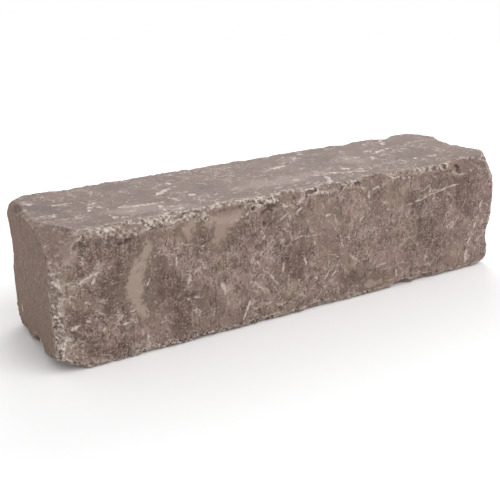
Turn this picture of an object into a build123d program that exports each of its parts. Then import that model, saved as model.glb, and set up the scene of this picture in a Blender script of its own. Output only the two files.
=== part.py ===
"""Tumbled concrete palisade post, lying on one of its long sides.

The post is one dry-cast block of coloured concrete. A tumbling drum then rounded every arris, knocked off
the eight corners and spalled shallow shells out of the edges, so no two edges are alike.

X runs along the post from its near end to its far end, Y from its front to its back, and Z is up.
The origin is at the middle of the bed face, which is the long side that the post lies on.
"""

import os
from math import cos, radians, sin, sqrt

from build123d import *

# Driving dimensions of the block, in millimetres
post_length = 590.0
post_width = 146.0
post_height = 151.0

# Radius that the drum wore on every arris, in millimetres
arris_round = 7.0

# Corners knocked off by the drum. The key gives the corner's side along X, Y and Z (near or far end, front or
# back, bottom or top). Each break of that corner says how far back along X, Y and Z it starts, in millimetres.
corner_breaks = {
    (-1, -1, 1): ((40.0, 62.0, 24.0), (46.0, 26.0, 46.0)),
    (-1, -1, -1): ((34.0, 60.0, 19.0),),
    (-1, 1, 1): ((22.0, 18.0, 20.0),),
    (-1, 1, -1): ((16.0, 24.0, 18.0),),
    (1, -1, 1): ((24.0, 32.0, 40.0),),
    (1, -1, -1): ((20.0, 16.0, 12.0),),
    (1, 1, 1): ((36.0, 50.0, 24.0),),
    (1, 1, -1): ((24.0, 28.0, 26.0),),
}

# Spalls, shallow shells that broke out of an arris. Each one has its place as a share of the arris's run, its
# length and its depth below the rounded arris in millimetres, and its lean in degrees: a spall with a lean
# above zero runs out over the face that its arris names first, and below zero over the other face.
spalls = {
    "front_top": (
        (0.145, 58.0, 4.5, 15.0),
        (0.225, 42.0, 3.0, -10.0),
        (0.335, 78.0, 6.0, 24.0),
        (0.470, 44.0, 6.5, 18.0),
        (0.560, 50.0, 3.5, -14.0),
        (0.665, 60.0, 6.0, 8.0),
        (0.745, 36.0, 3.5, -5.0),
        (0.900, 62.0, 6.5, 20.0),
    ),
    "front_bottom": (
        (0.175, 52.0, 1.5, 12.0),
        (0.290, 60.0, 1.2, -8.0),
        (0.415, 36.0, 1.5, 5.0),
        (0.540, 70.0, 2.0, 16.0),
        (0.755, 36.0, 5.0, -6.0),
        (0.815, 46.0, 3.5, 10.0),
        (0.885, 34.0, 1.2, -12.0),
    ),
    "back_top": (
        (0.110, 46.0, 3.0, 14.0),
        (0.235, 56.0, 2.0, 10.0),
        (0.400, 40.0, 2.5, 6.0),
        (0.520, 74.0, 3.0, 18.0),
        (0.690, 52.0, 2.0, 12.0),
        (0.755, 40.0, 4.0, -8.0),
        (0.865, 34.0, 8.0, -18.0),
    ),
    "back_bottom": (
        (0.130, 60.0, 5.0, -15.0),
        (0.270, 44.0, 3.5, 8.0),
        (0.390, 72.0, 6.0, 20.0),
        (0.530, 48.0, 3.0, -6.0),
        (0.640, 66.0, 5.5, 15.0),
        (0.770, 42.0, 4.0, -10.0),
        (0.880, 56.0, 4.5, 5.0),
    ),
    "near_top": ((0.740, 44.0, 3.0, 10.0),),
    "near_bottom": ((0.465, 48.0, 10.5, 10.0), (0.790, 30.0, 3.0, 14.0)),
    "near_front": ((0.300, 44.0, 3.5, -12.0), (0.560, 50.0, 4.5, 9.0)),
    "near_back": ((0.680, 76.0, 5.5, 10.0),),
    "far_top": ((0.360, 54.0, 7.5, -6.0), (0.560, 80.0, 10.0, -18.0)),
    "far_bottom": ((0.320, 46.0, 4.0, -10.0), (0.600, 58.0, 6.0, 16.0)),
    "far_front": ((0.290, 40.0, 4.5, 8.0), (0.780, 36.0, 2.5, -12.0)),
    "far_back": ((0.340, 52.0, 5.0, 15.0), (0.620, 48.0, 4.0, -7.0)),
}

# The faces of the block, by their side along each axis
x_faces = {-1: -post_length / 2, 1: post_length / 2}
y_faces = {-1: -post_width / 2, 1: post_width / 2}
z_faces = {-1: 0.0, 1: post_height}

# How far the round stands back from the sharp arris, measured along the bisector of the two faces
round_setback = (sqrt(2) - 1) * arris_round


def corner_break_plane(sides, setbacks):
    """The plane of a corner break, with its normal pointing out of the block."""
    corner = Vector(x_faces[sides[0]], y_faces[sides[1]], z_faces[sides[2]])
    start_on_x = corner - Vector(sides[0] * setbacks[0], 0, 0)
    outward = Vector(*(side / setback for side, setback in zip(sides, setbacks)))
    return Plane(origin=start_on_x, z_dir=outward)


def arris_lines():
    """Each arris by name: where it starts, where it ends, and the outward normals of its two faces."""
    ends = {"near": -1, "far": 1}
    fronts = {"front": -1, "back": 1}
    levels = {"bottom": -1, "top": 1}
    lines = {}
    for front, y in fronts.items():
        for level, z in levels.items():
            start = Vector(x_faces[-1], y_faces[y], z_faces[z])
            end = Vector(x_faces[1], y_faces[y], z_faces[z])
            lines[f"{front}_{level}"] = (start, end, Vector(0, y, 0), Vector(0, 0, z))
    for near, x in ends.items():
        for level, z in levels.items():
            start = Vector(x_faces[x], y_faces[-1], z_faces[z])
            end = Vector(x_faces[x], y_faces[1], z_faces[z])
            lines[f"{near}_{level}"] = (start, end, Vector(x, 0, 0), Vector(0, 0, z))
        for front, y in fronts.items():
            start = Vector(x_faces[x], y_faces[y], z_faces[-1])
            end = Vector(x_faces[x], y_faces[y], z_faces[1])
            lines[f"{near}_{front}"] = (start, end, Vector(x, 0, 0), Vector(0, y, 0))
    return lines


def spall_ball(line, share, length, depth, lean):
    """Centre and radius of the ball whose surface makes this spall on the arris."""
    start, end, first_normal, second_normal = line
    turn = radians(45 - lean)
    outward = first_normal * cos(turn) + second_normal * sin(turn)
    reach = depth + round_setback
    radius = (length**2 / 4 + reach**2) / (2 * reach)
    centre = start + (end - start) * share + outward * (radius - reach)
    return centre, radius


with BuildPart() as palisade_post:
    # The block as it left the mould
    Box(post_length, post_width, post_height, align=(Align.CENTER, Align.CENTER, Align.MIN))
    # Corners knocked off
    for sides, breaks in corner_breaks.items():
        for setbacks in breaks:
            split(bisect_by=corner_break_plane(sides, setbacks), keep=Keep.BOTTOM)
    # Every arris rounded
    fillet(palisade_post.edges(), radius=arris_round)
    # Spalls out of the rounded arrises
    lines = arris_lines()
    for arris, marks in spalls.items():
        for share, length, depth, lean in marks:
            centre, radius = spall_ball(lines[arris], share, length, depth, lean)
            with Locations(centre):
                Sphere(radius, mode=Mode.SUBTRACT)

palisade_post.part.label = "palisade_post"

os.makedirs("parts", exist_ok=True)
export_step(palisade_post.part, "parts/palisade_post.step")
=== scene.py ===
# %% [markdown]
# # A tumbled concrete palisade post
# The post is one block of dry-cast concrete that went through a tumbling drum. The drum's large wear,
# which is the rounded arrises, the knocked-off corners and the spalls, is already in the solid model.
# This script adds what is too fine for a solid: the broken grain of the arrises, the pits, and the
# mottled, scuffed skin.
#
# The solid is loaded as a fixed frame. It is never moved or changed: the dressed post is a copy that
# takes its place.

# %% Load the solid
import math

import bpy
import numpy as np
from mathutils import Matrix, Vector, noise


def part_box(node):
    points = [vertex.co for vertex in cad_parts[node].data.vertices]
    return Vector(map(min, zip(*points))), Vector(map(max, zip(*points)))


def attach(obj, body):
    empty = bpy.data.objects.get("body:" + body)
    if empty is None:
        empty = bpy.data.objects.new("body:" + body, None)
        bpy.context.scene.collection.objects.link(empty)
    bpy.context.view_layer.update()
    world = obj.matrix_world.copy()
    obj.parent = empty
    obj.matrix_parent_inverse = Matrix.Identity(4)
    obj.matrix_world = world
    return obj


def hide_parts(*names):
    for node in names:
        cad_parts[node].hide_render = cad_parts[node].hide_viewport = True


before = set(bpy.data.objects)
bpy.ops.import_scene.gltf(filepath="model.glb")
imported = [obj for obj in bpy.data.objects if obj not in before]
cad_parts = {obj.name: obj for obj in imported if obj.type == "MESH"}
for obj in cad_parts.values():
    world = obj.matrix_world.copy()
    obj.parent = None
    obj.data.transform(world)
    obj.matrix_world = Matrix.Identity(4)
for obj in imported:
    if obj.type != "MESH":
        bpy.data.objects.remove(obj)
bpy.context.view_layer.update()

# %% [markdown]
# ## The block to carve
# The real post has one continuous skin, so the dressed post starts as a copy of the solid. A solid's
# mesh is loose triangles, long on the flats and tiny on the rounds, and relief needs points everywhere.
# Subdividing would keep that unevenness. A voxel remesh instead lays an even net of small squares over
# the whole block.

# %% Copy the solid and lay an even net over it
MM = 0.001
merge_distance = 0.01 * MM
net_size = 2.6 * MM


def select_only(piece):
    bpy.ops.object.select_all(action="DESELECT")
    piece.select_set(True)
    bpy.context.view_layer.objects.active = piece


def apply_modifier(piece, kind, **settings):
    select_only(piece)
    bpy.ops.object.modifier_add(type=kind)
    modifier = piece.modifiers[-1]
    for name, value in settings.items():
        setattr(modifier, name, value)
    bpy.ops.object.modifier_apply(modifier=modifier.name)


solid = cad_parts["palisade_post"]
post = bpy.data.objects.new("tumbled_post", solid.data.copy())
bpy.context.collection.objects.link(post)
post.data.materials.clear()
select_only(post)
bpy.ops.object.mode_set(mode="EDIT")
bpy.ops.mesh.select_all(action="SELECT")
bpy.ops.mesh.remove_doubles(threshold=merge_distance)
bpy.ops.object.mode_set(mode="OBJECT")
apply_modifier(post, "REMESH", mode="VOXEL", voxel_size=net_size)
print("net:", len(post.data.vertices), "points,", len(post.data.polygons), "squares")

# %% [markdown]
# The stones that show along the arrises are finer than this net, and a finer net everywhere would have
# too many triangles. So only the squares near an arris are cut in four. The distance to the second
# nearest moulded face says how near a square is to an arris.

# %% Cut the net finer along the arrises
fine_band = 11 * MM
low, high = (np.array(corner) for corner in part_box("palisade_post"))


def read_vectors(items, name):
    values = np.empty(len(items) * 3, np.float32)
    items.foreach_get(name, values)
    return values.reshape(-1, 3)


def depths_below_faces(points):
    return np.minimum(points - low, high - points)


centres = read_vectors(post.data.polygons, "center")
near_arris = np.sort(depths_below_faces(centres), axis=1)[:, 1] < fine_band
select_only(post)
bpy.context.tool_settings.mesh_select_mode = (False, False, True)
bpy.ops.object.mode_set(mode="EDIT")
bpy.ops.mesh.select_all(action="DESELECT")
bpy.ops.object.mode_set(mode="OBJECT")
post.data.polygons.foreach_set("select", near_arris)
bpy.ops.object.mode_set(mode="EDIT")
bpy.ops.mesh.subdivide(number_cuts=1, ngon=False)
bpy.ops.object.mode_set(mode="OBJECT")
triangles = len(post.data.loops) - 2 * len(post.data.polygons)
print("finer net:", len(post.data.vertices), "points,", triangles, "triangles")

# %% [markdown]
# ## Where the drum has worn the skin
# On the real post the moulded skin survives on the flats and is gone along the arrises, where the
# stones of the mix show. That could be painted by hand. It is measured instead, because the wear then
# follows every spall by itself. First comes which moulded face a point belongs to, how deep it lies
# below that face, and how far it is from the next face, which is its distance to an arris.

# %% Find the face that each point belongs to
X, Y, Z = range(3)
bed_height = 0.5 * MM
places = read_vectors(post.data.vertices, "co")
along, across, height = places.T
depths = depths_below_faces(places)
nearest_axis = depths.argmin(axis=1)
skin_depth, arris_distance, _ = np.sort(depths, axis=1).T
on_near_end = (nearest_axis == X) & (along < 0)
on_front = (nearest_axis == Y) & (across < 0)
on_back = (nearest_axis == Y) & (across > 0)
on_top = (nearest_axis == Z) & (height > high[Z] / 2)
on_bed = (nearest_axis == Z) & (height < bed_height)
print("points on the front", on_front.sum(), "on the top", on_top.sum(), "on the bed", on_bed.sum())

# %% [markdown]
# Depth says how much has been lost: a little is wear, and a lot is the facet of a knocked-off corner.
# Where the skin bends outwards, a rim stands proud and takes the knocks. The ridge is the part of a rim
# that lies about as deep below one face as below the other. Each of them sets in or fades over a range
# of its own.

# %% Measure the wear at every point
worn_depth = (0.3 * MM, 2.5 * MM)
facet_depth = (2 * MM, 6 * MM)
arris_reach = (3 * MM, 16 * MM)
ridge_reach = (0.5 * MM, 3 * MM)
rim_bend = (0.015, 0.06)
bend_smoothing_rounds = 2


def smooth_step(values, start, end):
    """From zero at the start to one at the end, easing in and out."""
    share = np.clip((values - start) / (end - start), 0, 1)
    return share * share * (3 - 2 * share)


def bend_of_skin(piece, points):
    """How sharply the skin bends outwards at each point, as one over the radius in millimetres."""
    ends = np.empty(len(piece.data.edges) * 2, np.int32)
    piece.data.edges.foreach_get("vertices", ends)
    first, second = ends.reshape(-1, 2).T
    normals = read_vectors(piece.data.vertices, "normal")
    step = (points[second] - points[first]) / MM
    bend = ((normals[second] - normals[first]) * step).sum(axis=1) / (step**2).sum(axis=1)
    count = len(points)
    neighbours = np.bincount(ends, minlength=count)
    bend = (np.bincount(first, bend, count) + np.bincount(second, bend, count)) / neighbours
    for _ in range(bend_smoothing_rounds):
        around = np.bincount(first, bend[second], count) + np.bincount(second, bend[first], count)
        bend = (bend + around / neighbours) / 2
    return bend


worn = smooth_step(skin_depth, *worn_depth)
arris = 1 - smooth_step(arris_distance, *arris_reach)
rim = smooth_step(bend_of_skin(post, places), *rim_bend)
ridge = rim * (1 - smooth_step(arris_distance - skin_depth, *ridge_reach))
facet = smooth_step(skin_depth, *facet_depth) * (1 - rim)
print("worn", worn.mean().round(3), "rim", rim.mean().round(3), "facet", facet.mean().round(3))

# %% [markdown]
# No two arrises of a tumbled block are alike. The one over the near end was polished until it is calm,
# and the front ones at that end were rubbed to a pale sandy band.

# %% Calm and rubbed arrises
NEAR_END, FRONT, TOP = (X, low[X]), (Y, low[Y]), (Z, high[Z])
calm_reach = (30 * MM, 60 * MM)
rubbed_top_reach = (5 * MM, 15 * MM)
rubbed_top_sets_in = (-265 * MM, -225 * MM)
rubbed_top_fades = (-90 * MM, 30 * MM)
rubbed_top_share = 0.6
rubbed_end_reach = (4 * MM, 13 * MM)
rubbed_end_fades = (100 * MM, 130 * MM)


def close_to_arris(first_face, second_face, reach):
    """One along the arris where two faces meet, falling to zero over this range of distances from it."""
    (first_axis, first_place), (second_axis, second_place) = first_face, second_face
    away = np.hypot(places[:, first_axis] - first_place, places[:, second_axis] - second_place)
    return 1 - smooth_step(away, *reach)


calm = close_to_arris(NEAR_END, TOP, calm_reach)
rubbed_top = close_to_arris(FRONT, TOP, rubbed_top_reach)
rubbed_top *= smooth_step(along, *rubbed_top_sets_in) * (1 - smooth_step(along, *rubbed_top_fades))
rubbed_end = close_to_arris(NEAR_END, FRONT, rubbed_end_reach)
rubbed_end *= 1 - smooth_step(height, *rubbed_end_fades)
rubbed = np.maximum(rubbed_top_share * rubbed_top, rubbed_end) * (1 - facet)
print("calm", calm.mean().round(3), "rubbed", rubbed.mean().round(4))

# %% [markdown]
# The rims are broken, and so is the skin beside an arris, most of all on the long sides. Tumbling
# polished some of it again: the facets, the calm arris and, a little, the far half. On the far end and
# the back a noise picks out stretches that were spared.
#
# Blender's noise_vector starts from the clock unless a seed is set. With one, every run wears the same
# post.

# %% Broken arrises
NOISE_SEED = 2
breaking_by_axis = np.array([0.25, 0.75, 0.35])
facet_polish, calm_polish, far_half_polish, spared_polish = 0.8, 0.75, 0.32, 0.8
far_half_sets_in = (-30 * MM, 50 * MM)
far_end_sets_in = (250 * MM, 280 * MM)
back_sets_in = (30 * MM, 55 * MM)
spared_size = 32 * MM
spared_noise = (0.15, -0.25)


def noise_at(points, size):
    """A smooth random vector for each point, with blobs of this size."""
    return np.array([noise.noise_vector(Vector(point) / size) for point in points.tolist()])


noise.seed_set(NOISE_SEED)
far_end_or_back = np.maximum(smooth_step(along, *far_end_sets_in), smooth_step(across, *back_sets_in))
spared = far_end_or_back * smooth_step(noise_at(places, spared_size)[:, Y], *spared_noise)
far_half = smooth_step(along, *far_half_sets_in)
broken = np.maximum(rim, arris * breaking_by_axis[nearest_axis])
broken *= (1 - facet_polish * facet) * (1 - calm_polish * calm)
broken *= (1 - spared_polish * spared) * (1 - far_half_polish * far_half)
rim *= 1 - spared_polish * spared
print("broken", broken.mean().round(3), "spared", spared.mean().round(3))

# %% [markdown]
# ## Marks placed by hand
# In places the cement paste rose to the skin and set as a smooth tan patch. The other blocks in the
# drum dragged cream lines over the faces, a few stones left deep holes, and the pigment darkened to
# stains or paled to blooms. The marks that catch the eye are placed one by one. Each is a stroke from a
# start to an end with a half width, in millimetres on its face: along and up on the front, along and
# across on the top, and across and up on the near end. The back takes the front's strokes upside down,
# all but the holes and the ridge at the near corner, so the two sides are alike but not the same.

# %% Paste, holes and scuffs placed one by one
paste_strokes = {
    "front": (
        (-190, 125, -200, 105, 5), (-200, 105, -210, 85, 8), (-210, 85, -206, 68, 9),
        (-206, 66, -199, 47, 5), (-143, 138, -144, 127, 7), (-122, 135, -84, 139, 6),
        (-100, 134, -112, 112, 7), (-108, 132, -92, 135, 9), (95, 15, 115, 15, 4),
    ),
}
hole_strokes = {
    "front": (
        (-57, 134, -38, 140, 3.5), (0, 147, 15, 148, 3), (70, 146, 80, 146, 3.5),
        (228, 132, 231, 147, 3.6), (-222, 131, -208, 134, 2.5), (-55, 121, -50, 121, 2),
        (100, 148, 110, 150, 3), (205, 146, 208, 147, 2.5), (214, 138, 218, 140, 2),
        (35, 146, 40, 147, 2.5), (145, 147, 150, 148, 2.5),
    ),
}
scuff_strokes = {
    "front": (
        (-55, 70, -30, 40, 1.9), (-68, 58, -46, 34, 1.7), (-25, 75, -30, 55, 1.4),
        (136, 104, 188, 116, 1.5), (165, 112, 236, 123, 1.4), (-275, 95, -240, 110, 1.8),
        (-160, 120, -125, 110, 1.6), (-95, 90, -80, 95, 1.2), (-110, 65, -95, 35, 1.2),
        (-70, 35, -80, 10, 2.2), (-70, 105, -60, 80, 1.2), (275, 95, 270, 80, 2.0),
        (265, 65, 265, 55, 2.4), (260, 45, 255, 35, 2.2), (255, 30, 255, 10, 2.2),
        (-190, 90, -195, 75, 1.4), (-160, 105, -160, 90, 1.6), (-250, 75, -240, 75, 1.4),
        (-225, 50, -220, 55, 1.4), (-245, 40, -240, 45, 1.6), (75, 100, 85, 105, 2.0),
        (35, 110, 55, 80, 1.2), (90, 135, 90, 125, 1.8), (140, 65, 150, 65, 1.4),
        (50, 55, 40, 35, 1.2), (-195, 30, -195, 10, 1.6), (-288, 130, -286, 120, 2.4),
        (-289, 108, -287, 98, 2.4), (-292, 62, -291, 55, 2.2), (-287, 42, -278, 38, 2.4),
        (-250, 103, -254, 92, 1.8), (-263, 78, -256, 74, 1.7), (-263, 55, -255, 54, 1.8),
        (-225, 41, -216, 42, 1.8), (-278, 49, -271, 53, 2.0), (-20, 98, 22, 94, 1.6),
        (-35, 118, -20, 130, 1.6), (-12, 126, -4, 133, 1.8), (25, 115, 40, 118, 1.5),
        (40, 118, 48, 97, 1.4), (2, 73, 4, 60, 2.0), (40, 50, 25, 28, 1.5),
        (-108, 63, -102, 52, 2.6), (-153, 57, -145, 52, 1.7), (107, 38, 122, 37, 1.6),
        (140, 26, 141, 14, 1.8), (52, 78, 56, 71, 2.0),
    ),
    "top": (
        (-160, -35, -165, -70, 1.8), (-150, -45, -145, -55, 3.2), (-140, -20, -135, -30, 3.2),
        (-150, -5, -130, 10, 2.0), (-220, 5, -230, -15, 1.8), (-220, 5, -205, 5, 1.8),
        (-215, -40, -215, -50, 2.4), (-120, 30, -120, 15, 2.2), (-115, -15, -115, -25, 2.6),
        (40, -30, 75, -35, 2.4), (50, -40, 40, -65, 2.0), (85, -20, 90, -30, 2.4),
        (75, -40, 105, -45, 2.0), (145, 0, 150, -15, 2.2), (205, 55, 195, 35, 2.4),
        (160, 10, 190, 20, 2.0), (190, -35, 205, -45, 2.2), (235, -20, 240, -25, 2.4),
        (-285, 40, -275, 35, 2.0), (-258, 19, -240, 16, 3.0), (-285, -10, -265, -10, 1.8),
        (-200, -20, -155, -30, 1.8), (0, 15, 30, 20, 2.0),
    ),
    "near end": ((46, 34, 46, 24, 2.6), (3, 18, 4, 10, 2.6), (-20, 92, -16, 88, 2.0)),
}
corner_ridge = (-260, 148, -285, 130, 3.5)
print("scuffs placed by hand:", {face: len(strokes) for face, strokes in scuff_strokes.items()})

# %% Stains and blooms placed one by one
stain_strokes = {
    "front": (
        (-265, 135, -205, 130, 17), (-220, 115, -235, 60, 14), (-275, 70, -255, 20, 15),
        (-180, 100, -155, 20, 18), (-25, 75, 15, 80, 11), (-30, 90, -5, 50, 12),
        (60, 20, 75, 40, 13), (155, 115, 210, 25, 15), (235, 125, 255, 75, 17),
        (45, 135, 50, 110, 9), (-260, 20, -215, 10, 12), (-50, 125, -35, 120, 8),
        (-131, 125, -122, 116, 6), (-88, 120, -76, 112, 7),
    ),
    "top": (
        (-280, 35, -260, -5, 14), (-195, 50, -160, 45, 12), (-135, 45, -105, 45, 12),
        (-90, 5, -95, -35, 8), (60, 30, 105, 25, 12), (180, -15, 230, -15, 14),
    ),
}
bloom_strokes = {
    "front": (
        (75, 130, 90, 60, 14), (-55, 60, -50, 35, 10), (215, 30, 270, 30, 12),
        (115, 100, 120, 90, 10), (-110, 60, -85, 35, 8), (-203, 58, -193, 12, 5),
        (-284, 106, -278, 84, 9), (-280, 18, -264, 27, 8),
    ),
    "top": ((-220, -25, -135, -50, 12), (-70, -30, 60, -25, 12), (110, 20, 125, -20, 12)),
}
print("stains on the front:", len(stain_strokes["front"]), "blooms:", len(bloom_strokes["front"]))


# %% Strokes for the back
def upside_down(strokes):
    """The strokes of a long side as they lie when the side is turned upside down."""
    top_mm = high[Z] / MM
    turned = []
    for start_x, start_z, end_x, end_z, half_width in strokes:
        turned.append((start_x, top_mm - start_z, end_x, top_mm - end_z, half_width))
    return tuple(turned)


for strokes in (paste_strokes, scuff_strokes, stain_strokes, bloom_strokes):
    strokes["back"] = upside_down(strokes["front"])
scuff_strokes["front"] += (corner_ridge,)
print("faces with scuffs:", list(scuff_strokes))

# %% [markdown]
# Strokes this thin would blur if they were painted on the points of the net. What is kept is the
# distance to the nearest stroke's edge, which runs evenly between points, and the finish then draws a
# crisp edge where it is zero. Before it is measured, each point is pushed about by a noise, so that no
# stroke is straight. Stains and blooms have soft edges, so they are kept as shares from zero to one.
# A painted sheen pales the top along its front arris, most at the near end; it is kept with the blooms.

# %% Measure the distance to the strokes
FAR_MM = 50.0
FACES = {
    "front": (on_front, (X, Z)),
    "back": (on_back, (X, Z)),
    "top": (on_top, (X, Y)),
    "near end": (on_near_end, (Y, Z)),
}
slim_ends, blunt_ends = 0.6, 0.1
wiggle_size, wiggle_reach_mm = 11 * MM, 2.0
ragged_size, ragged_reach_mm = 3.0 * MM, 3.5
cloudy_size, cloudy_reach_mm, soft_edge_mm = 20 * MM, 9.0, 11.0
arris_painted_sheen_reach = (5 * MM, 20 * MM)
arris_painted_sheen_fades = (-100 * MM, 50 * MM)
arris_painted_sheen_near, arris_painted_sheen_loss = 0.55, 0.4


def distance_to_stroke(points, stroke, taper):
    """Distance in mm to the edge of a stroke, below zero inside it. The taper narrows its two ends."""
    start_a, start_b, end_a, end_b, half_width = stroke
    start = np.array((start_a, start_b))
    span = np.array((end_a, end_b)) - start
    share = np.clip((points - start) @ span / (span @ span), 0, 1)
    away = np.linalg.norm(points - start - share[:, None] * span, axis=1)
    return away - half_width * (1 - taper * (2 * share - 1) ** 2)


def distance_to_nearest(strokes_by_face, taper=slim_ends):
    distance = np.full(len(places), FAR_MM)
    for face, strokes in strokes_by_face.items():
        on_face, axes = FACES[face]
        points = wiggled_mm[on_face][:, axes]
        distances = [distance_to_stroke(points, stroke, taper) for stroke in strokes]
        distance[on_face] = np.minimum(np.min(distances, axis=0), FAR_MM)
    return distance


wiggled_mm = places / MM + wiggle_reach_mm * noise_at(places, wiggle_size)
scuff = distance_to_nearest(scuff_strokes)
paste = distance_to_nearest(paste_strokes, taper=blunt_ends)
hole = distance_to_nearest(hole_strokes) + ragged_reach_mm * noise_at(places, ragged_size)[:, X]
cloudy = cloudy_reach_mm * noise_at(places, cloudy_size)
stain = smooth_step(distance_to_nearest(stain_strokes) + cloudy[:, X], soft_edge_mm, -soft_edge_mm)
bloom_and_sheen = smooth_step(distance_to_nearest(bloom_strokes) + cloudy[:, Y], soft_edge_mm, -soft_edge_mm)
# Painted sheen: the top is painted paler along its front arris, and this is kept with the blooms.
arris_painted_sheen = on_top * close_to_arris(FRONT, TOP, arris_painted_sheen_reach)
arris_painted_sheen *= arris_painted_sheen_near - arris_painted_sheen_loss * smooth_step(along, *arris_painted_sheen_fades)
bloom_and_sheen = np.maximum(bloom_and_sheen, arris_painted_sheen)
print("points in scuffs", (scuff < 0).sum(), "in paste", (paste < 0).sum(), "in holes", (hole < 0).sum())

# %% [markdown]
# ## Relief
# Displace modifiers carve the relief, and a vertex group says how hard each one bites where. The
# arrises bite hardest. The long sides are grainy, the top and the ends came smoother out of the mould,
# and the bed stays flat, because the post lies on it. A group takes one weight at a time, so the
# weights are rounded to grades.

# %% Turn the wear into vertex groups
GROUP_GRADES = 25
grain_by_axis = np.array([0.3, 1.0, 0.45])


def paint_group(piece, name, weights):
    group = piece.vertex_groups.new(name=name)
    grades = np.round(weights * GROUP_GRADES).astype(int)
    for grade in range(1, GROUP_GRADES + 1):
        group.add(np.flatnonzero(grades == grade).tolist(), grade / GROUP_GRADES, "REPLACE")


paint_group(post, "arris", broken * ~on_bed)
paint_group(post, "grain", np.maximum(grain_by_axis[nearest_axis], worn) * ~on_bed)
print("vertex groups:", [group.name for group in post.vertex_groups])

# %% [markdown]
# Each kind of roughness gets one pass of its own, from broad to fine: slow waves in the faces, broken
# lumps and stones along the arrises, stones that fell out, grain, and pits. On the faces every pass
# only carves inwards. On the arrises the lumps and stones swell outwards about as far as the gaps go
# in, so that the outline keeps its size. The listed holes come last, the calm arris over the
# near end is drawn out a little to a crisper edge, and the points are held inside the solid's box.

# %% Carve the relief
hole_depth = 2.8 * MM
hole_wall_mm = (-0.5, 2.0)
crisp_reach = 1.0 * MM


def carve(name, kind, size_mm, depth_mm, group, ramp=None, swell=0.0, **settings):
    """Displace the post inwards by a pattern of this size and depth, and outwards by a share of it."""
    pattern = bpy.data.textures.new(name, kind)
    pattern.noise_scale = size_mm * MM
    for setting, value in settings.items():
        setattr(pattern, setting, value)
    if ramp:
        pattern.use_color_ramp = True
        start, end = pattern.color_ramp.elements
        start.position, end.position = ramp
        start.color, end.color = (0, 0, 0, 1), (1, 1, 1, 1)
    apply_modifier(
        post, "DISPLACE", texture=pattern, texture_coords="LOCAL", direction="NORMAL",
        mid_level=swell, strength=-depth_mm * MM, vertex_group=group,
    )


carve("face_waves", "CLOUDS", size_mm=60, depth_mm=0.7, group="grain", noise_depth=1)
carve(
    "arris_lumps", "CLOUDS", size_mm=12, depth_mm=2.0, group="arris",
    ramp=(0.4, 0.9), swell=0.25, noise_depth=2,
)
skin_before = read_vectors(post.data.vertices, "co")
outwards = read_vectors(post.data.vertices, "normal")
carve("arris_stones", "VORONOI", size_mm=5, depth_mm=1.7, group="arris", swell=0.4)
carve(
    "lost_stones", "CLOUDS", size_mm=4.5, depth_mm=2.4, group="arris",
    ramp=(0.62, 0.78), noise_depth=1,
)
carve("grain", "CLOUDS", size_mm=4, depth_mm=0.6, group="grain", noise_depth=2)
carve("pits", "CLOUDS", size_mm=6, depth_mm=1.4, group="grain", ramp=(0.68, 0.8), noise_depth=1)
skin_after = read_vectors(post.data.vertices, "co")
skin_after[:, Y] += hole_depth * smooth_step(-hole, *hole_wall_mm)
skin_after += outwards * (crisp_reach * calm * rim)[:, None]
carved = ((skin_before - skin_after) * outwards).sum(axis=1)
post.data.vertices.foreach_set("co", np.clip(skin_after, low, high).astype(np.float32).ravel())
post.data.update()
select_only(post)
bpy.ops.object.shade_smooth()
carved_mm = carved / MM
print("relief in mm: mean", carved_mm.mean().round(2), "deepest", carved_mm.max().round(2))

# %% [markdown]
# ## What the finish reads
# The finish has to know the strokes, where the skin is broken and how deep each point was carved, so
# that stones show pale on the arrises, and the gaps between them and the deep hollows get painted shade.
# All of it is stored on the mesh as attributes, which travel with the piece. The shade is above zero in
# blooms and in the painted sheen on the top's front arris, and below zero in a stain.

# %% Store the marks and the wear on the mesh
marks = {
    "scuff": scuff,
    "paste": paste,
    "shade": bloom_and_sheen - stain,
    "broken": broken,
    "rim": np.where(on_front, rim, rim * (1 - calm) + ridge * calm),
    "rubbed": rubbed,
    "facet": facet,
    "carved": carved_mm,
}
for name, values in marks.items():
    attribute = post.data.attributes.new(name, "FLOAT", "POINT")
    attribute.data.foreach_set("value", np.asarray(values, np.float32))
print("attributes:", list(marks))

# %% [markdown]
# ## The concrete
# Coloured concrete is never one colour: the pigment clouds, the skin is smooth in places and sandy in
# others, and pale grains lie close to pits, which are painted dark as shade. A painted image would need
# an unwrapped mesh and would blur close up. Here every layer is a noise at its real size, read from
# Object coordinates in metres, so nothing stretches and the pattern stays with the post.
#
# The helpers below add the nodes. A share runs from zero to one and says how much of a layer shows.

# %% Helpers that add nodes
concrete = bpy.data.materials.new("tumbled_concrete")
concrete.use_nodes = True
tree = concrete.node_tree
tree.nodes.clear()


def add_node(kind, inputs=(), **settings):
    """A node with these settings. An input is a plain value or another node's output."""
    node = tree.nodes.new(kind)
    for name, value in settings.items():
        setattr(node, name, value)
    for key, value in dict(inputs).items():
        if isinstance(value, bpy.types.NodeSocket):
            tree.links.new(value, node.inputs[key])
        else:
            node.inputs[key].default_value = value
    return node


def maths(operation, first, second=0.0, clamp=False):
    node = add_node("ShaderNodeMath", {0: first, 1: second}, operation=operation, use_clamp=clamp)
    return node.outputs[0]


def vector_maths(operation, first, second):
    second_input = "Scale" if operation == "SCALE" else 1
    node = add_node("ShaderNodeVectorMath", {0: first, second_input: second}, operation=operation)
    return node.outputs[0]


def product(*values):
    result = values[0]
    for value in values[1:]:
        result = maths("MULTIPLY", result, value)
    return result


def largest(*values):
    result = values[0]
    for value in values[1:]:
        result = maths("MAXIMUM", result, value)
    return result


print("finish started:", concrete.name)

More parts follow.
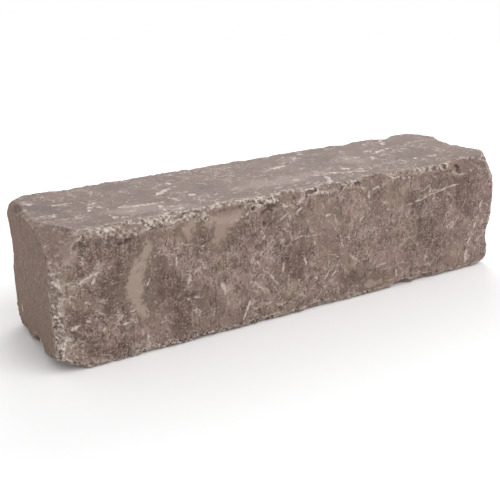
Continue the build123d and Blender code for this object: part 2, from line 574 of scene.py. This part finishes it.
# %% Helpers for the layers of the finish
# The sockets of a Mix node for numbers and for colours: its share, its first value and its second
NUMBER_SOCKETS, COLOUR_SOCKETS = (0, 2, 3), (0, 6, 7)
COLOUR_RESULT = 2
coordinates = add_node("ShaderNodeTexCoord")
object_place = coordinates.outputs["Object"]
place_xyz = add_node("ShaderNodeSeparateXYZ", {0: object_place}).outputs
facing_xyz = add_node("ShaderNodeSeparateXYZ", {0: coordinates.outputs["Normal"]}).outputs


def spread(value, start, end, to=(0.0, 1.0)):
    """The value eased from the range between start and end to another range, and held inside it."""
    inputs = {"Value": value, "From Min": start, "From Max": end, "To Min": to[0], "To Max": to[1]}
    return add_node("ShaderNodeMapRange", inputs, interpolation_type="SMOOTHSTEP").outputs[0]


def level(share, off, on):
    """A level that goes from off to on as the share goes from zero to one."""
    return spread(share, 0.0, 1.0, to=(off, on))


def clouds(size_mm, detail=3.0, roughness=0.55, shift=0.0, distortion=0.0, stretch=(1, 1, 1)):
    """A noise with blobs about this many millimetres across. The shift keeps two noises apart."""
    sizes = [size_mm * MM * factor for factor in stretch]
    mapping = {"Vector": object_place, "Location": (shift, shift, shift), "Scale": sizes}
    place = add_node("ShaderNodeMapping", mapping, vector_type="TEXTURE").outputs[0]
    inputs = {
        "Vector": place,
        "Scale": 1,
        "Detail": detail,
        "Roughness": roughness,
        "Distortion": distortion,
    }
    return add_node("ShaderNodeTexNoise", inputs).outputs["Fac"]


def mix(share, first, second, blend="MIX"):
    """Two colours mixed: a share of zero gives the first, and a share of one the second."""
    inputs = {COLOUR_SOCKETS[0]: share}
    for index, colour in zip(COLOUR_SOCKETS[1:], (first, second)):
        inputs[index] = colour if isinstance(colour, bpy.types.NodeSocket) else (*colour, 1)
    node = add_node("ShaderNodeMix", inputs, data_type="RGBA", blend_type=blend, clamp_factor=True)
    return node.outputs[COLOUR_RESULT]


def lay(colour, over, *shares, strength=1.0):
    """A colour laid over another, as much as the product of the shares and the strength says."""
    return mix(product(*shares, strength), over, colour)


def stored(name):
    return add_node("ShaderNodeAttribute", attribute_name=name).outputs["Fac"]


print("nodes for place and facing:", len(tree.nodes))

# %% [markdown]
# The faces differ: the ends are smooth and plain, and the top is smoother than the long sides. The
# normal in object space tells them apart, softly, so that the change hides in the worn arris. Busy is
# how lively the pattern is on a face.

# %% Which face is it
facing_range = (0.6, 0.9)
plain_end, plain_top = 0.4, 0.6
facing_end = maths("ABSOLUTE", facing_xyz["X"])
end_face = spread(facing_end, *facing_range)
top_face = spread(facing_xyz["Z"], *facing_range)
plain_skin = maths("ADD", product(end_face, plain_end), product(top_face, plain_top), clamp=True)
busy = maths("SUBTRACT", 1.0, plain_skin, clamp=True)
print("nodes that tell the faces apart:", len(tree.nodes))

# %% [markdown]
# The skin is a patchwork. Where the paste lay against the mould it is smooth, each patch in its own
# tone between olive brown and mauve, and between the patches it is sandy. A Voronoi pattern on
# coordinates that a noise has pushed about gives such patches their tones and their borders. The plain
# browns of the ends and the top, the listed stains and blooms, and a painted sheen are laid over it.

# %% The patchwork of the skin
patch_mm, push_mm, push_reach_mm = 19, 15, 26
middle_of_noise = (0.5, 0.5, 0.5)
olive_brown = (0.275, 0.202, 0.158)
mauve = (0.296, 0.206, 0.182)
deep_brown = (0.150, 0.100, 0.083)
end_brown = (0.248, 0.164, 0.124)
top_grey = (0.190, 0.147, 0.132)
push = add_node("ShaderNodeTexNoise", {"Vector": object_place, "Scale": 1 / (push_mm * MM), "Detail": 3})
push = vector_maths("SUBTRACT", push.outputs["Color"], middle_of_noise)
push = vector_maths("SCALE", push, push_reach_mm * MM)
patch_cells = {"Vector": vector_maths("ADD", object_place, push), "Scale": 1 / (patch_mm * MM)}
patch = add_node("ShaderNodeTexVoronoi", patch_cells)
border = add_node("ShaderNodeTexVoronoi", patch_cells, feature="DISTANCE_TO_EDGE").outputs[0]
patch_luck = add_node("ShaderNodeSeparateColor", {0: patch.outputs["Color"]}).outputs
tint = mix(spread(patch_luck[0], 0.2, 0.8), olive_brown, mauve)
broad_pigment = clouds(90, detail=2, roughness=0.5, shift=5.1)
tint = lay(deep_brown, tint, spread(broad_pigment, 0.44, 0.62, to=(0.0, 0.3)))
pigment = maths("ADD", product(patch_luck[1], 0.5), clouds(45, detail=4, roughness=0.6, shift=8.8))
tint = lay(deep_brown, tint, spread(pigment, 0.55, 1.05, to=(0.0, 0.55)))
tint = lay(end_brown, tint, end_face, strength=0.8)
tint = lay(top_grey, tint, top_face, strength=0.6)
print("nodes with the patchwork:", len(tree.nodes))

# %% Colour the stains, the blooms and the painted sheen
stain_brown, stain_grey = (0.138, 0.089, 0.072), (0.165, 0.129, 0.121)
bloom_and_sheen_tan, bloom_and_sheen_grey = (0.345, 0.257, 0.210), (0.330, 0.264, 0.236)
stained = spread(stored("shade"), 0.0, -1.0)
tint = lay(mix(top_face, stain_brown, stain_grey), tint, stained, level(top_face, 0.74, 0.6))
# Painted sheen: the pale tones of the blooms also paint the sheen along the top's front arris.
bloom_and_sheen_share = spread(stored("shade"), 0.0, 1.0)
tint = lay(mix(top_face, bloom_and_sheen_tan, bloom_and_sheen_grey), tint, bloom_and_sheen_share, strength=0.7)
print("nodes with the stains and blooms:", len(tree.nodes))

# %% [markdown]
# On the long sides and the ends the mould dragged the grain into upright streaks as it was lifted. A
# fine noise stretched upwards gives the streaks, and a coarser one gives the mottle. The two are
# overlaid on the tint, which keeps its hue. They are strongest where the paste was lean. There, and
# between the patches, sand shows: pits in painted shade and pale grains, which follow the same streaks.

# %% Mottle and streaks
dark_grey, light_grey = (0.2, 0.2, 0.2), (0.8, 0.8, 0.8)
lean_noise = clouds(38, detail=4, roughness=0.6, shift=0.4, distortion=0.6)
lean = spread(lean_noise, 0.42, 0.56, to=(0.12, 1.0))
mottle = clouds(8, detail=5, roughness=0.7, shift=1.7)
drag = clouds(2.4, detail=2, roughness=0.5, shift=4.2, stretch=(1, 1, 7))
streaked = maths("ADD", product(mottle, 0.78), product(drag, 0.22))
mottle_tone = mix(spread(streaked, 0.32, 0.68), dark_grey, light_grey)
mottle_share = product(level(busy, 0.25, 0.75), level(lean, 0.35, 1.0))
tint = mix(mottle_share, tint, mottle_tone, blend="OVERLAY")
print("nodes with the mottle:", len(tree.nodes))

# %% Painted shade in the pits, and pale sand
painted_pit_shade = (0.085, 0.050, 0.038)
sand_tan = (0.46, 0.365, 0.322)
sandy = largest(spread(border, 0.22, 0.04), lean)
sand_share = product(sandy, busy, spread(drag, 0.36, 0.6, to=(0.35, 1.0)))
speck_noise = clouds(2.4, detail=2, roughness=0.6, shift=5.3, stretch=(1, 1, 2.2))
# Painted shade: the pits of the sand are painted dark where the grain bump is low.
tint = lay(painted_pit_shade, tint, spread(speck_noise, 0.48, 0.37), sand_share, strength=0.85)
sand_noise = clouds(2.2, detail=1, roughness=0.5, shift=9.1)
tint = lay(sand_tan, tint, spread(sand_noise, 0.53, 0.64), level(sand_share, 0.12, 1.0), strength=0.55)
print("nodes with the sand:", len(tree.nodes))

# %% [markdown]
# ## Paste and scuffs in the finish
# The listed strokes are drawn from their stored distances. A noise makes the distance, and so
# the edge, ragged. The paste is plain tan with a darker brown around it. The scuffs are broken into
# crumbs by another noise, and on the smoother top they are wider and blotchy.

# %% Tan paste and cream scuffs
near_paste_tan, far_paste_tan = (0.388, 0.294, 0.243), (0.370, 0.270, 0.225)
paste_rim_brown = (0.190, 0.140, 0.106)
paste_tone_changes = (-185 * MM, -165 * MM)
paste_ragged_mm, paste_edge_mm = 17, (1.8, -3.0)
paste_rim_ragged_mm, paste_rim_edge_mm = 25, (11, 4)
side_scuff_ragged_mm, top_scuff_ragged_mm = 3.6, 12.0
scuff_edge_mm, top_scuff_widening_mm = (0.3, -1.0), 1.4
edge_noise = maths("SUBTRACT", clouds(5, detail=3, roughness=0.6, shift=6.6), 0.5)


def ragged_distance(name, reach_mm):
    """The stored distance to a stroke's edge, in millimetres, pushed to and fro by the edge noise."""
    return maths("ADD", stored(name), product(edge_noise, reach_mm))


paste_mark = spread(ragged_distance("paste", paste_ragged_mm), *paste_edge_mm)
paste_rim = spread(ragged_distance("paste", paste_rim_ragged_mm), *paste_rim_edge_mm)
paste_tone = mix(spread(place_xyz["X"], *paste_tone_changes), near_paste_tan, far_paste_tan)
tint = lay(paste_rim_brown, tint, paste_rim, strength=0.65)
tint = lay(paste_tone, tint, paste_mark, strength=0.9)
crumbs = spread(clouds(3, detail=2, roughness=0.6, shift=1.1), 0.36, 0.56)
blotches = clouds(7, detail=4, roughness=0.65, shift=6.1, distortion=0.6, stretch=(1.5, 1, 1))
scuff_ragged_mm = level(top_face, side_scuff_ragged_mm, top_scuff_ragged_mm)
scuff_distance = ragged_distance("scuff", scuff_ragged_mm)
scuff_distance = maths("SUBTRACT", scuff_distance, product(top_face, top_scuff_widening_mm))
off_top = maths("SUBTRACT", 1.0, top_face)
blotchy_on_top = largest(off_top, spread(blotches, 0.42, 0.56))
scuff_mark = product(spread(scuff_distance, *scuff_edge_mm), level(crumbs, 0.6, 1.0), blotchy_on_top)
print("nodes with the paste and scuffs:", len(tree.nodes))

# %% [markdown]
# Between the strokes the drum left many faint scratches, too many to place. They are drawn in the cells
# of a Voronoi pattern on each face: every cell turns its own short line by a chance angle, and some
# cells stay empty. The cells lie flat on a face, so the two coordinates that run along that face are
# chosen first.

# %% Faint scratches
face_switch = 0.7
bend_reach = 8 * MM
on_end = maths("GREATER_THAN", facing_end, face_switch)
on_level = maths("GREATER_THAN", maths("ABSOLUTE", facing_xyz["Z"]), face_switch)


def choose(switch, off, on):
    inputs = dict(zip(NUMBER_SOCKETS, (switch, off, on)))
    return add_node("ShaderNodeMix", inputs).outputs[0]


face_u = choose(on_end, place_xyz["X"], place_xyz["Y"])
face_v = choose(on_level, place_xyz["Z"], place_xyz["Y"])
bend_noise = maths("SUBTRACT", clouds(16, detail=2, roughness=0.5, shift=3.3), 0.5)
face_u = maths("ADD", face_u, product(bend_noise, bend_reach))
face_place = add_node("ShaderNodeCombineXYZ", {0: face_u, 1: face_v}).outputs[0]


def scratches(cell_mm, half_length, half_width, present, softness=0.2):
    """Short lines, one to a cell at most. The lengths and widths are shares of the cell."""
    size = cell_mm * MM
    cells = {"Vector": face_place, "Scale": 1 / size}
    cell = add_node("ShaderNodeTexVoronoi", cells, voronoi_dimensions="2D").outputs
    luck = add_node("ShaderNodeSeparateColor", {0: cell["Color"]}).outputs
    reach = vector_maths("SUBTRACT", face_place, cell["Position"])
    turn = {"Vector": reach, "Angle": product(luck[0], 2 * math.pi)}
    turned = add_node("ShaderNodeVectorRotate", turn, rotation_type="Z_AXIS").outputs[0]
    line = add_node("ShaderNodeSeparateXYZ", {0: turned}).outputs
    inside = spread(maths("ABSOLUTE", line["Y"]), half_width * size, softness * half_width * size)
    length = product(level(luck[1], 0.3, 1.0), half_length * size)
    past_end = maths("SUBTRACT", maths("ABSOLUTE", line["X"]), length)
    ends = spread(past_end, 0.0, -softness * half_length * size)
    return product(inside, ends, spread(luck[2], 1 - present, 1.0))


short_scratches = scratches(cell_mm=11, half_length=0.45, half_width=0.06, present=0.6)
long_scratches = scratches(cell_mm=26, half_length=0.45, half_width=0.035, present=0.75)
scratch_mark = largest(long_scratches, product(short_scratches, level(top_face, 1.0, 0.25)))
print("nodes with the scratches:", len(tree.nodes))

# %% [markdown]
# The borders of the patchwork, mostly hidden, make thin cream veins that cross each other. Wisps,
# mostly on the top, follow the middle level of a noise, and rubbed places are strewn with pale flecks.
# All of them are weaker on the ends, in stains and on the paste.

# %% Veins, wisps and flecks
side_cream, top_cream = (0.60, 0.50, 0.45), (0.61, 0.525, 0.485)
vein_place = spread(clouds(22, detail=3, roughness=0.6, shift=5.9), 0.5, 0.62)
vein_mark = product(spread(border, 0.07, 0.01), vein_place, 0.8)
wisp_noise = clouds(30, detail=4, roughness=0.6, shift=4.7, distortion=1.0)
wisp_line = maths("ABSOLUTE", maths("SUBTRACT", wisp_noise, 0.5))
wisp_place = spread(clouds(55, detail=2, roughness=0.5, shift=7.7), 0.45, 0.57)
wisp_mark = product(spread(wisp_line, 0.022, 0.0), wisp_place, level(top_face, 0.35, 1.0))
fleck_place = spread(clouds(30, detail=3, roughness=0.6, shift=3.9), 0.46, 0.6)
fleck_mark = product(spread(blotches, 0.54, 0.62), fleck_place, level(top_face, 0.7, 1.0))
line_share = spread(clouds(45, detail=2, roughness=0.5, shift=2.7), 0.36, 0.6, to=(0.4, 1.0))
line_mark = product(largest(scratch_mark, vein_mark, wisp_mark), line_share)
faint_mark = product(
    largest(line_mark, fleck_mark),
    level(end_face, 1.0, 0.12),
    level(crumbs, 0.15, 1.0),
    level(stained, 1.0, 0.45),
    level(paste_mark, 1.0, 0.35),
    level(top_face, 1.0, 0.75),
)
tint = lay(mix(top_face, side_cream, top_cream), tint, largest(scuff_mark, faint_mark))
print("nodes with the veins and flecks:", len(tree.nodes))

# %% [markdown]
# ## The broken arrises in the finish
# Where the skin is gone, pale stones stand among gaps that are painted dark as shade, and rims are
# rubbed pale. The broad facets of the knocked-off corners were tumbled smooth again, and there the plain
# brown inside of the concrete shows. One fine noise is both: its highs are stones and its lows are the
# gaps. Where the relief was carved deep, the hollow is painted dark as shade.

# %% Facets, stones, and painted shade in gaps and hollows
facet_dark, facet_light = (0.15, 0.102, 0.083), (0.30, 0.215, 0.178)
grain_tan = (0.50, 0.41, 0.355)
rubbed_tan = (0.47, 0.39, 0.34)
stone_pale = (0.635, 0.555, 0.5)
stone_bright = (0.74, 0.66, 0.59)
painted_gap_shade = (0.085, 0.053, 0.042)
painted_hollow_shade_mm = (0.9, 2.4)
facet_share, rubbed_share = stored("facet"), stored("rubbed")
stone_noise = clouds(3.6, detail=3, roughness=0.6, shift=7.4)
tint = lay(mix(mottle, facet_dark, facet_light), tint, facet_share, strength=0.85)
tint = lay(grain_tan, tint, facet_share, spread(stone_noise, 0.57, 0.66), strength=0.45)
tint = lay(rubbed_tan, tint, rubbed_share, spread(stone_noise, 0.42, 0.54), strength=0.4)
broken_share = largest(spread(stored("broken"), 0.2, 0.8), product(rubbed_share, 0.65))
stone_place = spread(clouds(16, shift=2.2), 0.36, 0.52, to=(0.15, 1.0))
stone_share = product(broken_share, stone_place, level(paste_mark, 1.0, 0.2), level(stained, 1.0, 0.6))
tint = lay(stone_pale, tint, spread(stone_noise, 0.465, 0.59), stone_share, strength=0.95)
# Painted shade: the gaps between the stones are painted dark.
tint = lay(painted_gap_shade, tint, spread(stone_noise, 0.44, 0.35), stone_share, strength=0.85)
tint = lay(grain_tan, tint, stored("rim"), spread(mottle, 0.42, 0.6), strength=0.4)
tint = lay(stone_bright, tint, spread(stone_noise, 0.56, 0.62), rubbed_share, strength=0.9)
# Painted shade: where the relief was carved deep, the hollow is painted dark.
tint = lay(painted_gap_shade, tint, spread(stored("carved"), *painted_hollow_shade_mm), strength=0.7)
print("nodes with the arrises:", len(tree.nodes))

# %% [markdown]
# Concrete is matt, with hardly any gloss. The mottle and the sand also stand up a little. They are
# finer than the net of the mesh, so a bump in the shading gives them their grain, less of it on the
# smooth faces and the paste.

# %% Surface of the concrete
bump_height = 1.0 * MM
roughness_range = (0.62, 0.82)
gloss = 0.2
grain_height = maths("ADD", product(mottle, 0.6), product(speck_noise, level(sand_share, 0.2, 0.8)))
bump_strength = product(level(busy, 0.3, 0.9), level(paste_mark, 1.0, 0.3))
bumps = {"Strength": bump_strength, "Distance": bump_height, "Height": grain_height}
bump = add_node("ShaderNodeBump", bumps)
surface = {
    "Base Color": tint,
    "Roughness": spread(mottle, 0.3, 0.7, to=roughness_range),
    "Specular IOR Level": gloss,
    "Normal": bump.outputs[0],
}
shader = add_node("ShaderNodeBsdfPrincipled", surface)
add_node("ShaderNodeOutputMaterial", {"Surface": shader.outputs[0]})
post.data.materials.append(concrete)
print("finish:", concrete.name, len(tree.nodes), "nodes")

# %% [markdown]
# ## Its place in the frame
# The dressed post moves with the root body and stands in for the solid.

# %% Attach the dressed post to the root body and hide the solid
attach(post, "root")
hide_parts("palisade_post")
print("dressed post:", post.name)

# %% [markdown]
# ## Studio
# A pale floor, an even white surround, one wide soft key light from the front right, and a softbox
# behind, whose sheen on the top makes it paler than the sides, as in the photograph. The floor and the
# surround are paler for the camera than for the light that they send back, so the picture has a white
# ground and the post keeps its tones. The floor lies a hair below the bed, so that the two don't
# flicker.

# %% Floor and surround
floor_size = 16
floor_drop = 0.2 * MM
floor_lit, surround_lit, seen_white = 0.65, 0.7, 1.0
bpy.ops.mesh.primitive_plane_add(size=floor_size, location=(0, 0, -floor_drop))
floor = bpy.context.active_object
floor.name = "floor"


def paler_for_camera(node_tree, lit, seen):
    """One grey for the light sent back, and another for what the camera sees, also in a gloss."""
    path = node_tree.nodes.new("ShaderNodeLightPath")
    grey = node_tree.nodes.new("ShaderNodeMix")
    share_input, lit_input, seen_input = (grey.inputs[index] for index in NUMBER_SOCKETS)
    lit_input.default_value = lit
    seen_input.default_value = seen
    looking = path.outputs["Is Camera Ray"]
    for ray in ("Is Glossy Ray", "Is Transmission Ray"):
        either = node_tree.nodes.new("ShaderNodeMath")
        either.operation = "MAXIMUM"
        node_tree.links.new(looking, either.inputs[0])
        node_tree.links.new(path.outputs[ray], either.inputs[1])
        looking = either.outputs[0]
    node_tree.links.new(looking, share_input)
    return grey.outputs[0]


floor_paint = bpy.data.materials.new("pale_floor")
floor_paint.use_nodes = True
floor_tree = floor_paint.node_tree
floor_shader = floor_tree.nodes["Principled BSDF"]
floor_shader.inputs["Roughness"].default_value = 1
floor_shader.inputs["Specular IOR Level"].default_value = 0
floor_grey = paler_for_camera(floor_tree, floor_lit, seen_white)
floor_tree.links.new(floor_grey, floor_shader.inputs["Base Color"])
floor.data.materials.append(floor_paint)

world = bpy.data.worlds.new("studio")
bpy.context.scene.world = world
world.use_nodes = True
background = world.node_tree.nodes["Background"]
background.inputs["Color"].default_value = (1, 1, 1, 1)
surround = paler_for_camera(world.node_tree, surround_lit, seen_white)
world.node_tree.links.new(surround, background.inputs["Strength"])
print("studio:", floor.name, "and", world.name)

# %% Lights
key_from = Vector((0.45, -0.75, 0.85))
key_energy = 1.35
key_angle = math.radians(50)
bpy.ops.object.light_add(type="SUN", location=key_from)
key = bpy.context.active_object
key.name = "soft_key"
key.rotation_euler = key_from.to_track_quat("Z", "Y").to_euler()
key.data.energy = key_energy
key.data.angle = key_angle

back_from = Vector((0.75, 1.3, 0.95))
back_towards = Vector((0, 0, 0.1))
back_size = 1.3
back_energy = 14
bpy.ops.object.light_add(type="AREA", location=back_from)
back_light = bpy.context.active_object
back_light.name = "back_softbox"
back_light.rotation_euler = (back_from - back_towards).to_track_quat("Z", "Y").to_euler()
back_light.data.size = back_size
back_light.data.energy = back_energy
print("lights:", key.name, "and", back_light.name)

# %% [markdown]
# ## Camera
# The camera stands where the photograph was taken from: its place and lens were worked out from the
# block's edges. The view transform is Standard, so that the tones of the finish reach the picture as
# they are.

# %% Camera
azimuth, elevation = math.radians(-30.35), math.radians(22.16)
aim = Vector((-24.9, 6.6, 57.0)) * MM
camera_distance = 1.0436
sensor_width_mm = 36
image_width_pixels = 500
focal_length_pixels = 863.3
towards_camera = Vector((
    math.sin(azimuth) * math.cos(elevation),
    -math.cos(azimuth) * math.cos(elevation),
    math.sin(elevation),
))
bpy.ops.object.camera_add(location=aim + towards_camera * camera_distance)
camera = bpy.context.active_object
camera.rotation_euler = towards_camera.to_track_quat("Z", "Y").to_euler()
camera.data.sensor_width = sensor_width_mm
camera.data.lens = sensor_width_mm * focal_length_pixels / image_width_pixels
bpy.context.scene.camera = camera
bpy.context.scene.view_settings.view_transform = "Standard"
print("lens in mm:", round(camera.data.lens, 1))
